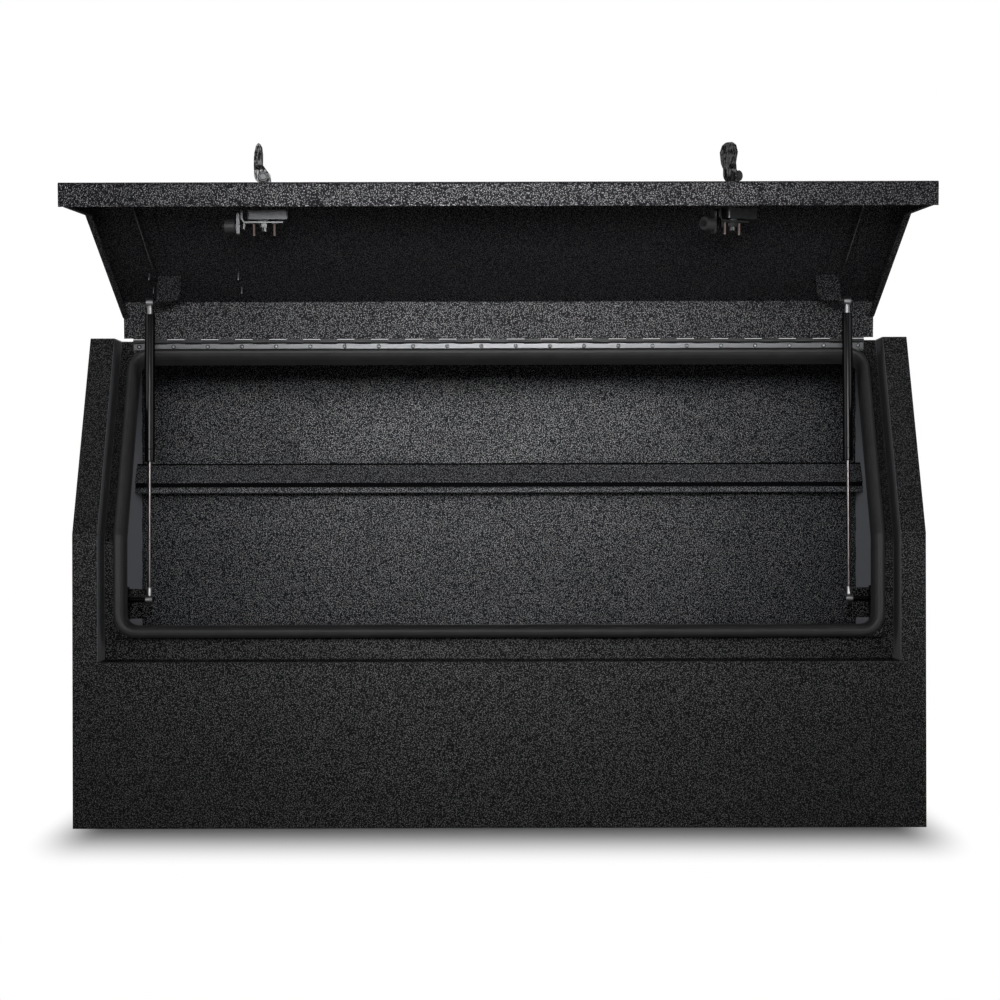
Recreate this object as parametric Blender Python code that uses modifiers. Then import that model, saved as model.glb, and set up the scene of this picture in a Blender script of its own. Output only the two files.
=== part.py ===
"""A lockable aluminium storage box with its lid standing open, as an assembly of separate pieces.

Metres, +Z up, the front faces -Y. Lengths called depth run back from the front plane.
The lid, the struts and the locks are drawn in their own frames, each on its joint's axis.
"""

import math

import bmesh
import bpy
from mathutils import Vector

# Driving dimensions of the box
WIDTH = 1.200
DEPTH = 0.570
HEIGHT = 0.700
SHEET = 0.002
BEND = 0.0012
GAP = 0.0003
FRONT_HEIGHT = 0.414  # from the underside to where the front turns back
SLOPE_DEPTH = 0.137  # how far back the slope ends
SILL_HEIGHT = 0.2335
RIM = 0.035
CORNER_DROP = 0.0255  # the diagonal weld at the front panel's top corners

# Rain gutter and seal flange round the opening
GUTTER_DEPTH = 0.057
GUTTER_WIDTH = 0.020
FLANGE_DEPTH = 0.028
FLANGE_WIDTH = 0.0170
SILL_RISE = 0.0335
TROUGH_DROP = 0.020

# Bulb seal: a clip on the flange and a bulb in front of it
SEAL_BACK = 0.0022
SEAL_WEB = 0.0017
SEAL_GRIP = 0.009
SEAL_WIDTH = 0.0155
SEAL_BULB = 0.0232
SEAL_SHOULDER = 0.0080
SEAL_CORNER = 0.018
SEAL_STEPS = 5
BULB_STEPS = 8

# Rail across the back wall
RAIL_TOP = 0.522
RAIL_BOTTOM = 0.473
RAIL_SHELF = 0.047
RAIL_REACH = 0.073
RAIL_NOSE = 0.490
RAIL_GROOVE = 0.005
RAIL_LIP = 0.482

# Piano hinge
AXIS_SINK = 0.001
HINGE_INSET = 0.0525
KNUCKLES = 43
KNUCKLE_R = 0.0032
LEAF = 0.0015
PIN_R = 0.0015
PIN_FIT = 0.0002
BODY_LEAF_DROP = 0.012
LID_LEAF_REACH = 0.026
LID_LEAF_LOW = -0.0003
NOTCH_EXTRA = 0.0005
CURL_END = math.radians(-150)
CURL_STEPS = 9

# Lid, drawn shut and then swung open
LID_OPEN = math.radians(86.4)
LID_GAP = 0.004
LID_SILL_GAP = 0.0025
LIP = 0.031
LID_SINK = 0.0016
LID_FLANGE_CLEAR = 0.005
LID_END_DEPTH = 0.030
LID_HEM = 0.0097
STIFFENER_INSET = 0.103
STIFFENER_DEPTH = 0.0147
STIFFENER_WIDTH = 0.022
STIFFENER_START = 0.008
STIFFENER_CLEAR = 0.007
BRACKET_SHEET = 0.003
BRACKET_LENGTH = 0.045
BRACKET_FROM_TOP = 0.0431
BRACKET_DEPTH = 0.045
BRACKET_WIDTH = 0.034
BRACKET_CORNER = 0.012

# Gas struts
STRUT_OUTBOARD = 0.0128
STUD_ALONG = 0.0222
STUD_DEPTH = 0.0352
FOOT_DEPTH = 0.108
FOOT_RISE = 0.0520
TUBE_R = 0.0075
TUBE_START = 0.0176
TUBE_SHARE = 0.4975
BORE_START = 0.045
ROD_R = 0.003
ROD_FIT = 0.0004
ROD_INSIDE = 0.020
ROD_END = 0.0173
EYE_R = 0.0065
EYE_HALF = 0.005
NECK_R = 0.004
STUD_R = 0.0035
STUD_FIT = 0.0003
STUD_HEAD = 0.0015
FOOT_SHEET = 0.003
FOOT_START = 0.033
FOOT_END = 0.128
FOOT_TALL = 0.050
FOOT_SHARE = 0.64  # of the height, from its lower edge to the stud
FOOT_LEG = 0.033

# Compression locks
LOCK_SHARE = 0.2566
LOCK_UP = 0.090  # above the lid's lower edge
RIGHT_TURN = math.radians(40)
PLATE_WIDTH = 0.058
PLATE_TALL = 0.084
PLATE = 0.003
PLATE_CORNER = 0.010
SLEEVE_R = 0.0095
SLEEVE_END = 0.0177
BUSH_R = 0.007
BUSH_HEAD_R = 0.010
BUSH_HEAD = 0.002
BAR_WIDTH = 0.011
BAR = 0.0036
BAR_FIT = 0.0003
PIVOT_UP = 0.014
SPINDLE_R = 0.004
SPINDLE_DRAW = 0.0045
SPINDLE_END = 0.057
BLOCK_TOP = 0.0285
BLOCK_BOTTOM = 0.0420
BLOCK_BACK = 0.0325
BLOCK_NOSE = 0.0215
BLOCK_HALF = 0.0155
BLOCK_CORNER = 0.002
BOSS = 0.0018
BOSS_R = 0.0075
STRIP = 0.0022
STRIP_BACK = 0.025
STRIP_NOSE = 0.0281
STRIP_BEND = 0.0045
STRIP_HALF = 0.0075
TAB_RISE = 0.0138
LUG_DROP = 0.008
NUT_R = 0.007
NUT = 0.0055
AXLE_DROP = 0.0496
AXLE_R = 0.0025
AXLE_START = 0.0256
AXLE_END = 0.054
AXLE_HEAD = 0.0012
AXLE_HEAD_R = 0.0042
AXLE_NUT_START = 0.0274
AXLE_NUT = 0.0030
STOP_START = 0.0325
STOP = 0.0045
STOP_HALF = 0.0035
STOP_TOP = 0.0298
STOP_BOTTOM = 0.0628
ROLLER_START = 0.038
ROLLER_LENGTH = 0.0145
ROLLER_R = 0.009
ROLLER_EDGE = 0.0012
HANDLE_PIN_R = 0.0025
HEEL_LOW = 0.0082
HEEL_STEPS = 6
HANDLE_REACH = 0.0442
HANDLE_BACK = 0.0127
HANDLE_HALF = 0.0122
HANDLE_SIDE_SHARES = (  # of the reach behind and the reach up
    (0.72, -0.181),
    (0.67, -0.052),
    (0.60, 0.077),
    (0.27, 0.206),
    (-0.17, 0.375),
    (-0.17, 0.511),
    (-0.18, 0.692),
    (-0.24, 0.896),
    (-0.36, 0.975),
    (-0.47, 1.000),
    (-0.60, 0.980),
    (-0.74, 0.896),
    (-0.89, 0.692),
    (-0.96, 0.511),
    (-1.00, 0.250),
)
HANDLE_FRONT_SHARES = (  # of the half width and the reach up
    (0.39, -0.330),
    (0.39, 0.209),
    (0.70, 0.349),
    (1.00, 0.698),
    (0.82, 0.907),
    (0.41, 1.000),
)
SLOT_UP = 0.0085
SLOT_DOWN = 0.0160
SLOT_HALF = 0.0021
PIN_HALF = 0.0046
KEY_UP = 0.026
KEY_R = 0.005
KEY_INNER = 0.0090
KEY_OUTER = 0.0024

ROUND = 24
SMALL_ROUND = 16
HEX = 6
CORNER_STEPS = 4
BEND_STEPS = 3
SHARP = math.radians(35)
STRAIGHT = math.radians(1)

# Shape of the front: upright, then sloping back
HALF = WIDTH / 2
OPENING = HALF - RIM
STEP_X = OPENING - GUTTER_WIDTH
FLANGE_EDGE = STEP_X + SHEET - FLANGE_WIDTH
SLOPE = Vector((SLOPE_DEPTH, HEIGHT - FRONT_HEIGHT)).normalized()
INWARD = Vector((SLOPE.y, -SLOPE.x))
BEND_POINT = Vector((0, FRONT_HEIGHT))
CUT = 10 * SHEET  # how far a cutter reaches past what it cuts
SLOPE_LENGTH = math.hypot(SLOPE_DEPTH, HEIGHT - FRONT_HEIGHT)
AXIS_HEIGHT = HEIGHT - AXIS_SINK
HINGE_LENGTH = WIDTH - 2 * HINGE_INSET
LID_TOP = HEIGHT - LID_SINK
LID_BOTTOM = SILL_HEIGHT + LID_SILL_GAP
STIFFENER_X = HALF - STIFFENER_INSET
STRUT_X = STIFFENER_X + STRUT_OUTBOARD
BRACKET_END = SLOPE_LENGTH - BRACKET_FROM_TOP
BRACKET_START = BRACKET_END - BRACKET_LENGTH
STIFFENER_END = BRACKET_START - STIFFENER_CLEAR
LOCK_X = WIDTH * LOCK_SHARE


def slope(along, depth):
    """Point of the side view this far up the slope and this deep below it."""
    return BEND_POINT + SLOPE * along + INWARD * depth


def slope_at(height, depth):
    """Point at this height on the line that runs this deep below the slope."""
    along = (height - FRONT_HEIGHT - INWARD.y * depth) / SLOPE.y
    return slope(along, depth)


def front_bend(depth):
    """Where the front's bend comes at this depth."""
    along = depth * (1 - INWARD.x) / SLOPE.x
    return slope(along, depth)


HINGE_FACE = slope_at(HEIGHT, GUTTER_DEPTH).x + GAP
AXIS_DEPTH = HINGE_FACE - KNUCKLE_R - GAP
LID_FLANGE_END = AXIS_DEPTH - LID_FLANGE_CLEAR

bpy.ops.object.select_all(action="DESELECT")
for old in list(bpy.data.objects):
    bpy.data.objects.remove(old, do_unlink=True)
parts = bpy.data.collections.new("aluminium_storage_box")
cutters = bpy.data.collections.new("cutters")
cutters.hide_render = True
bpy.context.scene.collection.children.link(parts)
bpy.context.scene.collection.children.link(cutters)

PLACES = {
    "X": lambda u, v, w: Vector((w, u, v)),
    "Y": lambda u, v, w: Vector((u, w, v)),
    "Z": lambda u, v, w: Vector((u, v, w)),
}


def prism(outline, axis, start, end):
    """A flat outline drawn out along an axis."""
    place = PLACES[axis]
    grid = bmesh.new()
    ring = [grid.verts.new(place(u, v, start)) for u, v in outline]
    grown = bmesh.ops.extrude_face_region(grid, geom=[grid.faces.new(ring)])
    moved = [item for item in grown["geom"] if isinstance(item, bmesh.types.BMVert)]
    bmesh.ops.translate(grid, verts=moved, vec=place(0, 0, end - start))
    bmesh.ops.recalc_face_normals(grid, faces=grid.faces)
    return grid


def box(low, high):
    """A block between two opposite corners."""
    outline = [(low[0], low[1]), (high[0], low[1]), (high[0], high[1]), (low[0], high[1])]
    return prism(outline, "Z", low[2], high[2])


def loft(rings, closed=False):
    """A skin through a row of rings with equal counts, with its ends capped or joined."""
    grid = bmesh.new()
    loops = [[grid.verts.new(point) for point in ring] for ring in rings]
    following = loops[1:] + loops[:1] if closed else loops[1:]
    for near, far in zip(loops, following):
        for i in range(len(near)):
            j = (i + 1) % len(near)
            grid.faces.new((near[i], near[j], far[j], far[i]))
    if not closed:
        grid.faces.new(loops[0])
        grid.faces.new(loops[-1])
    bmesh.ops.recalc_face_normals(grid, faces=grid.faces)
    return grid


def arc(centre, radius, start, end, steps):
    """Points along an arc, both ends included."""
    turn = (end - start) / steps
    angles = [start + turn * k for k in range(steps + 1)]
    return [
        (centre[0] + radius * math.cos(a), centre[1] + radius * math.sin(a)) for a in angles
    ]


def circle(centre, radius, sides=ROUND):
    return arc(centre, radius, 0, math.tau, sides)[:-1]


def rounded(width, height, radius, centre=(0, 0), steps=CORNER_STEPS):
    """A rectangle with rounded corners."""
    u = width / 2 - radius
    v = height / 2 - radius
    outline = []
    for k, (side_u, side_v) in enumerate(((1, 1), (-1, 1), (-1, -1), (1, -1))):
        corner = (centre[0] + side_u * u, centre[1] + side_v * v)
        start = k * math.pi / 2
        outline += arc(corner, radius, start, start + math.pi / 2, steps)
    return outline


def ribbon(points, thickness, bend=BEND, steps=BEND_STEPS):
    """Outline of a sheet folded along the points, its thickness to the left of their way."""
    points = [Vector(point) for point in points]
    near = []
    far = []
    for i, point in enumerate(points):
        before = (point - points[max(i - 1, 0)]) if i else points[1] - point
        after = (points[i + 1] - point) if i + 1 < len(points) else before
        before.normalize()
        after = after.normalized()
        left = Vector((-before.y, before.x))
        turn = math.atan2(left.dot(after), before.dot(after))
        if abs(turn) < STRAIGHT:
            near.append(point)
            far.append(point + left * thickness)
            continue
        side = math.copysign(1, turn)
        own = bend + thickness if side > 0 else bend
        other = bend if side > 0 else bend + thickness
        centre = point - before * own * math.tan(abs(turn) / 2) + left * side * own
        for k in range(steps + 1):
            share = turn * k / steps
            spoke = Vector((-side * left.x, -side * left.y))
            spoke = Vector(
                (
                    spoke.x * math.cos(share) - spoke.y * math.sin(share),
                    spoke.x * math.sin(share) + spoke.y * math.cos(share),
                )
            )
            near.append(centre + spoke * own)
            far.append(centre + spoke * other)
    return [tuple(p) for p in near] + [tuple(p) for p in reversed(far)]


def paint(name, colour, roughness, metallic):
    """A material of its own for one piece."""
    material = bpy.data.materials.new(name)
    material.use_nodes = True
    shader = material.node_tree.nodes["Principled BSDF"]
    shader.inputs["Base Color"].default_value = (*colour, 1)
    shader.inputs["Roughness"].default_value = roughness
    shader.inputs["Metallic"].default_value = metallic
    return material


COAT = ((0.022, 0.023, 0.025), 0.55, 0.0)
STEEL_BLACK = ((0.015, 0.015, 0.016), 0.30, 0.0)
BRIGHT = ((0.62, 0.62, 0.60), 0.22, 1.0)
ZINC = ((0.46, 0.46, 0.45), 0.38, 1.0)
RUBBER = ((0.012, 0.012, 0.012), 0.75, 0.0)


def link(grid, name, group, parent, place=(0, 0, 0)):
    mesh = bpy.data.meshes.new(name)
    grid.to_mesh(mesh)
    grid.free()
    mesh.shade_smooth()
    mesh.set_sharp_from_angle(angle=SHARP)
    obj = bpy.data.objects.new(name, mesh)
    group.objects.link(obj)
    obj.parent = parent
    obj.location = place
    return obj


def piece(name, grid, finish, parent, place=(0, 0, 0)):
    """One piece of the object, in its parent's frame."""
    obj = link(grid, name, parts, parent, place)
    obj.data.materials.append(paint(name + "_finish", *finish))
    return obj


def shape(obj, grid, operation, name):
    """Adds one shape to a piece or takes it away."""
    tool = link(grid, name, cutters, obj.parent, obj.location)
    tool.hide_render = True
    tool.display_type = "WIRE"
    modifier = obj.modifiers.new(name, "BOOLEAN")
    modifier.operation = operation
    modifier.solver = "EXACT"
    modifier.object = tool
    return tool


def cut(obj, grid, name):
    return shape(obj, grid, "DIFFERENCE", obj.name + "_" + name)


def join(obj, grid, name):
    return shape(obj, grid, "UNION", obj.name + "_" + name)


def frame(name, parent, place, turn=(0, 0, 0)):
    """An empty that holds a moving group on its axis."""
    empty = bpy.data.objects.new(name, None)
    empty.empty_display_size = RIM
    parts.objects.link(empty)
    empty.parent = parent
    empty.location = place
    empty.rotation_euler = turn
    return empty


def door_run(section, low, ends, side):
    """A section, as points across and deep, run up the front and the slope to its end points."""
    rings = [[], [], []]
    for (across, depth), end in zip(section, ends):
        for ring, point in zip(rings, ((depth, low), front_bend(depth), end)):
            ring.append((side * across, point[0], point[1]))
    return loft(rings)


box_frame = frame("box_frame", None, (0, -DEPTH / 2, 0))

# Flat panels of the body
back_start = DEPTH - SHEET
inner_half = HALF - SHEET - GAP
floor_outline = (
    (-inner_half, SHEET + GAP),
    (inner_half, SHEET + GAP),
    (inner_half, back_start - GAP),
    (-inner_half, back_start - GAP),
)
piece("floor_panel", prism(floor_outline, "Z", 0, SHEET), COAT, box_frame)
back_outline = ((-inner_half, 0), (inner_half, 0), (inner_half, HEIGHT), (-inner_half, HEIGHT))
piece("back_panel", prism(back_outline, "Y", back_start, DEPTH), COAT, box_frame)
roof_outline = (
    (-inner_half, HINGE_FACE),
    (inner_half, HINGE_FACE),
    (inner_half, back_start - GAP),
    (-inner_half, back_start - GAP),
)
piece("roof_panel", prism(roof_outline, "Z", HEIGHT - SHEET, HEIGHT), COAT, box_frame)
mitre_x = HALF - RIM
mitre_low = SILL_HEIGHT - CORNER_DROP
front_outline = (
    (-HALF, 0),
    (HALF, 0),
    (HALF, mitre_low),
    (mitre_x, SILL_HEIGHT),
    (-mitre_x, SILL_HEIGHT),
    (-HALF, mitre_low),
)
piece("front_panel", prism(front_outline, "Y", 0, SHEET), COAT, box_frame)

# Side panels, each with its rim folded in along the front, the slope and the top
rim_low = mitre_low - CORNER_DROP
rim_path = (
    (HINGE_FACE - GAP, HEIGHT),
    (SLOPE_DEPTH, HEIGHT),
    (0, FRONT_HEIGHT),
    (0, rim_low),
)
rim = ribbon(rim_path, SHEET)
rim_outside = rim[: len(rim) // 2]
rim_inside = rim[len(rim) // 2 :][::-1]
side_outline = rim_outside + [(0, 0), (DEPTH, 0), (DEPTH, HEIGHT)]
side_hollow = rim_inside + [
    (-CUT, rim_low),
    (-CUT, -CUT),
    (DEPTH + CUT, -CUT),
    (DEPTH + CUT, HEIGHT + CUT),
    (HINGE_FACE - GAP, HEIGHT + CUT),
]
for side, hand in ((-1, "left"), (1, "right")):
    panel = piece(
        hand + "_side_panel",
        prism(side_outline, "X", side * mitre_x, side * HALF),
        COAT,
        box_frame,
    )
    hollow = prism(side_hollow, "X", side * (mitre_x - CUT), side * (HALF - SHEET))
    cut(panel, hollow, "hollow")
    room = (
        (side * (mitre_x - CUT), -CUT),
        (side * (HALF + CUT), -CUT),
        (side * (HALF + CUT), mitre_low + GAP),
        (side * HALF, mitre_low + GAP),
        (side * mitre_x, SILL_HEIGHT + GAP),
        (side * (mitre_x - CUT), SILL_HEIGHT + GAP),
    )
    cut(panel, prism(room, "Y", -CUT, SHEET + GAP), "front_room")

# Gutter and seal flange of the two sides
sill_step = SILL_HEIGHT + SILL_RISE - SHEET
side_section = ribbon(
    (
        (FLANGE_EDGE, FLANGE_DEPTH),
        (STEP_X + SHEET, FLANGE_DEPTH),
        (STEP_X + SHEET, GUTTER_DEPTH - SHEET),
        (OPENING, GUTTER_DEPTH - SHEET),
        (OPENING, SHEET + GAP),
    ),
    SHEET,
)
trough_top = HEIGHT - SHEET - GAP
trough_floor = HEIGHT - TROUGH_DROP
sill_top = sill_step + FLANGE_WIDTH
head_edge = (trough_floor - FRONT_HEIGHT - INWARD.y * FLANGE_DEPTH) / SLOPE.y - FLANGE_WIDTH
side_ends = [slope_at(trough_top, depth) for across, depth in side_section]
for side, hand in ((-1, "left"), (1, "right")):
    run = door_run(side_section, SILL_HEIGHT + GAP, side_ends, side)
    jamb = piece(hand + "_opening_frame", run, COAT, box_frame)
    clear = STEP_X + SHEET + GAP
    corner = (
        (side * (FLANGE_EDGE - CUT), 0),
        (side * clear, 0),
        (side * clear, sill_step),
        (side * STEP_X, sill_step),
        (side * STEP_X, sill_top + GAP),
        (side * (FLANGE_EDGE - CUT), sill_top + GAP),
    )
    cut(jamb, prism(corner, "Y", -CUT, GUTTER_DEPTH + CUT), "sill_room")
    low_cut = head_edge - GAP
    head_room = (
        slope(low_cut, -CUT),
        slope(low_cut, FLANGE_DEPTH + SHEET + GAP),
        (slope_at(trough_floor, GUTTER_DEPTH).x, trough_floor),
        (slope_at(trough_floor, GUTTER_DEPTH).x + CUT, trough_floor),
        (slope_at(trough_floor, GUTTER_DEPTH).x + CUT, HEIGHT + CUT),
        slope_at(HEIGHT + CUT, -CUT),
    )
    cut(jamb, prism(head_room, "X", side * (FLANGE_EDGE - CUT), side * clear), "head_room")
    hinge_reach = KNUCKLE_R + NOTCH_EXTRA
    hinge_room = (
        (AXIS_DEPTH - hinge_reach, AXIS_HEIGHT - hinge_reach),
        (AXIS_DEPTH + hinge_reach, AXIS_HEIGHT - hinge_reach),
        (AXIS_DEPTH + hinge_reach, AXIS_HEIGHT + hinge_reach),
        (AXIS_DEPTH - hinge_reach, AXIS_HEIGHT + hinge_reach),
    )
    hinge_end = HINGE_LENGTH / 2 + NOTCH_EXTRA
    cut(jamb, prism(hinge_room, "X", side * (STEP_X - CUT), side * hinge_end), "hinge_room")

# Sill: top of the front panel, gutter, step and seal flange
sill_path = (
    (FLANGE_DEPTH, sill_top),
    (FLANGE_DEPTH, sill_step),
    (GUTTER_DEPTH - SHEET, sill_step),
    (GUTTER_DEPTH - SHEET, SILL_HEIGHT),
    (SHEET + GAP, SILL_HEIGHT),
)
sill_half = OPENING + SHEET
sill = piece("sill_frame", prism(ribbon(sill_path, SHEET), "X", -sill_half, sill_half), COAT, box_frame)
for side, hand in ((-1, "left"), (1, "right")):
    corner = (
        (side * (STEP_X + SHEET), SILL_HEIGHT + GAP / 2),
        (side * HALF, SILL_HEIGHT + GAP / 2),
        (side * HALF, sill_top + CUT),
        (side * (STEP_X - GAP), sill_top + CUT),
        (side * (STEP_X - GAP), sill_step - GAP),
        (side * (STEP_X + SHEET), sill_step - GAP),
    )
    cut(sill, prism(corner, "Y", -CUT, GUTTER_DEPTH + CUT), hand + "_corner")

# Head: hinge face, trough floor and seal flange, with an ear that shuts each end of the trough
flange_foot = slope(head_edge + FLANGE_WIDTH, FLANGE_DEPTH)
head_path = (
    (HINGE_FACE, trough_top),
    (HINGE_FACE, trough_floor),
    tuple(flange_foot),
    tuple(slope(head_edge, FLANGE_DEPTH)),
)
head_half = STEP_X - GAP
head = piece("head_frame", prism(ribbon(head_path, SHEET), "X", -OPENING, OPENING), COAT, box_frame)
ear_in = HINGE_LENGTH / 2 + GAP
ear_out = ear_in + SHEET
behind_gutter = GUTTER_DEPTH + GAP
ear_low = trough_floor - SHEET / 2
ear_top = trough_top - GAP
ear_back = HINGE_FACE + SHEET / 2
face_low = trough_floor + BEND
for side, hand in ((-1, "left"), (1, "right")):
    flange_room = (
        slope_at(trough_floor - CUT, -CUT),
        slope_at(trough_floor - CUT, behind_gutter),
        slope_at(HEIGHT + CUT, behind_gutter),
        slope_at(HEIGHT + CUT, -CUT),
    )
    cut(head, prism(flange_room, "X", side * head_half, side * (HALF + CUT)), hand + "_flange_room")
    floor_room = (
        (0, trough_floor - CUT),
        (HINGE_FACE + CUT, trough_floor - CUT),
        (HINGE_FACE + CUT, face_low),
        (0, face_low),
    )
    cut(head, prism(floor_room, "X", side * (ear_out + GAP), side * (HALF + CUT)), hand + "_floor_room")
    ear = (
        slope_at(ear_low, behind_gutter + GAP),
        (ear_back, ear_low),
        (ear_back, ear_top),
        slope_at(ear_top, behind_gutter + GAP),
    )
    join(head, prism(ear, "X", side * ear_in, side * ear_out), hand + "_ear")

# Rail folded from sheet across the back wall
rail_front = DEPTH - SHEET - RAIL_REACH
rail_path = (
    (back_start - GAP, RAIL_TOP),
    (back_start - RAIL_SHELF, RAIL_TOP),
    (rail_front, RAIL_NOSE),
    (rail_front + RAIL_GROOVE, RAIL_NOSE - BEND),
    (rail_front + RAIL_GROOVE, RAIL_LIP),
    (rail_front, RAIL_LIP),
    (rail_front, RAIL_BOTTOM),
    (back_start - GAP, RAIL_BOTTOM),
)
rail_sheet = SHEET / 2
rail_bend = SHEET / 4
rail_outline = ribbon(rail_path, rail_sheet, rail_bend, 2)
piece("back_rail", prism(rail_outline, "X", -inner_half, inner_half), COAT, box_frame)


# Bulb seal, one closed loop with rounded corners
def seal_section():
    """Points out from the flange's edge and deep from the front plane."""
    back = FLANGE_DEPTH + SHEET + GAP
    front = FLANGE_DEPTH - GAP
    web = GAP + SEAL_WEB
    top = front - SEAL_BULB
    middle = (SEAL_WIDTH - web) / 2
    reach = (SEAL_WIDTH + web) / 2
    rise = front - SEAL_SHOULDER - top
    bulb = [
        (middle + reach * math.cos(k * math.pi / BULB_STEPS),
         front - SEAL_SHOULDER - rise * math.sin(k * math.pi / BULB_STEPS))
        for k in range(BULB_STEPS + 1)
    ]
    clip = [
        (-web, back + SEAL_BACK),
        (SEAL_GRIP, back + SEAL_BACK),
        (SEAL_GRIP, back),
        (-GAP, back),
        (-GAP, front),
        (SEAL_WIDTH, front),
    ]
    return clip + bulb


def door_point(across, up, depth):
    """Point of the front at this height along its face, which turns back at the bend."""
    if up == FRONT_HEIGHT:
        side_view = front_bend(depth)
    elif up > FRONT_HEIGHT:
        side_view = slope(up - FRONT_HEIGHT, depth)
    else:
        side_view = Vector((depth, up))
    return (across, side_view.x, side_view.y)


def seal_rings():
    half = FLANGE_EDGE - SEAL_CORNER
    low = sill_top + SEAL_CORNER
    high = FRONT_HEIGHT + head_edge - SEAL_CORNER
    stations = []
    for corner, start in (((half, low), -90), ((half, high), 0), ((-half, high), 90), ((-half, low), 180)):
        angles = [math.radians(start + 90 * k / SEAL_STEPS) for k in range(SEAL_STEPS + 1)]
        stations += [(corner, angle) for angle in angles]
        if start in (-90, 90):
            side = 1 if start == -90 else -1
            stations.append(((side * half, FRONT_HEIGHT), 0 if side > 0 else math.pi))
    rings = []
    for corner, angle in stations:
        ring = []
        for out, depth in seal_section():
            reach = SEAL_CORNER + out
            across = corner[0] + reach * math.cos(angle)
            up = corner[1] if corner[1] == FRONT_HEIGHT else corner[1] + reach * math.sin(angle)
            ring.append(door_point(across, up, depth))
        rings.append(ring)
    return rings


piece("door_seal", loft(seal_rings(), closed=True), RUBBER, box_frame)

# Piano hinge: two leaves rolled round the pin in alternate knuckles
lid_frame = frame("lid_frame", box_frame, (0, AXIS_DEPTH, AXIS_HEIGHT), (-LID_OPEN, 0, 0))
eye = PIN_R + PIN_FIT
pitch = HINGE_LENGTH / KNUCKLES
hinge_half = HINGE_LENGTH / 2


def leaf_outline(reach, low):
    """A leaf to the left of the pin, lying from low upward, and its curl round the pin."""
    high = low + LEAF
    outer = math.pi - math.asin(min(high / KNUCKLE_R, 1))
    inner = math.pi - math.asin(min(low / eye, 1))
    curl = arc((0, 0), KNUCKLE_R, outer, CURL_END, CURL_STEPS)
    back = arc((0, 0), eye, CURL_END, inner, CURL_STEPS)
    return [(-reach, low), (-reach, high)] + curl + back


def comb(keep_first):
    """Blocks at the knuckles of the other leaf."""
    merged = bmesh.new()
    reach = KNUCKLE_R + NOTCH_EXTRA
    for k in range(KNUCKLES):
        if (k % 2 == 0) == keep_first:
            continue
        start = -hinge_half + k * pitch - GAP / 2
        block = box((start, -reach, -reach), (start + pitch + GAP, reach, reach))
        spare = bpy.data.meshes.new("spare")
        block.to_mesh(spare)
        block.free()
        merged.from_mesh(spare)
        bpy.data.meshes.remove(spare)
    return merged


body_leaf = leaf_outline(BODY_LEAF_DROP, KNUCKLE_R - LEAF)
body_leaf = [(v, u) for u, v in body_leaf]
hinge_place = (0, AXIS_DEPTH, AXIS_HEIGHT)
leaf = piece("hinge_body_leaf", prism(body_leaf, "X", -hinge_half, hinge_half), COAT, box_frame, hinge_place)
cut(leaf, comb(True), "comb")
lid_leaf = leaf_outline(LID_LEAF_REACH, LID_LEAF_LOW)
leaf = piece("hinge_lid_leaf", prism(lid_leaf, "X", -hinge_half, hinge_half), COAT, lid_frame)
cut(leaf, comb(False), "comb")
pin_shape = prism(circle((0, 0), PIN_R, SMALL_ROUND), "X", -hinge_half, hinge_half)
piece("hinge_pin", pin_shape, ZINC, box_frame, hinge_place)


# Lid: every shape is drawn shut and then moved so that the hinge axis is its origin
def on_lid(grid):
    bmesh.ops.translate(grid, verts=grid.verts, vec=(0, -AXIS_DEPTH, -AXIS_HEIGHT))
    return grid


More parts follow.
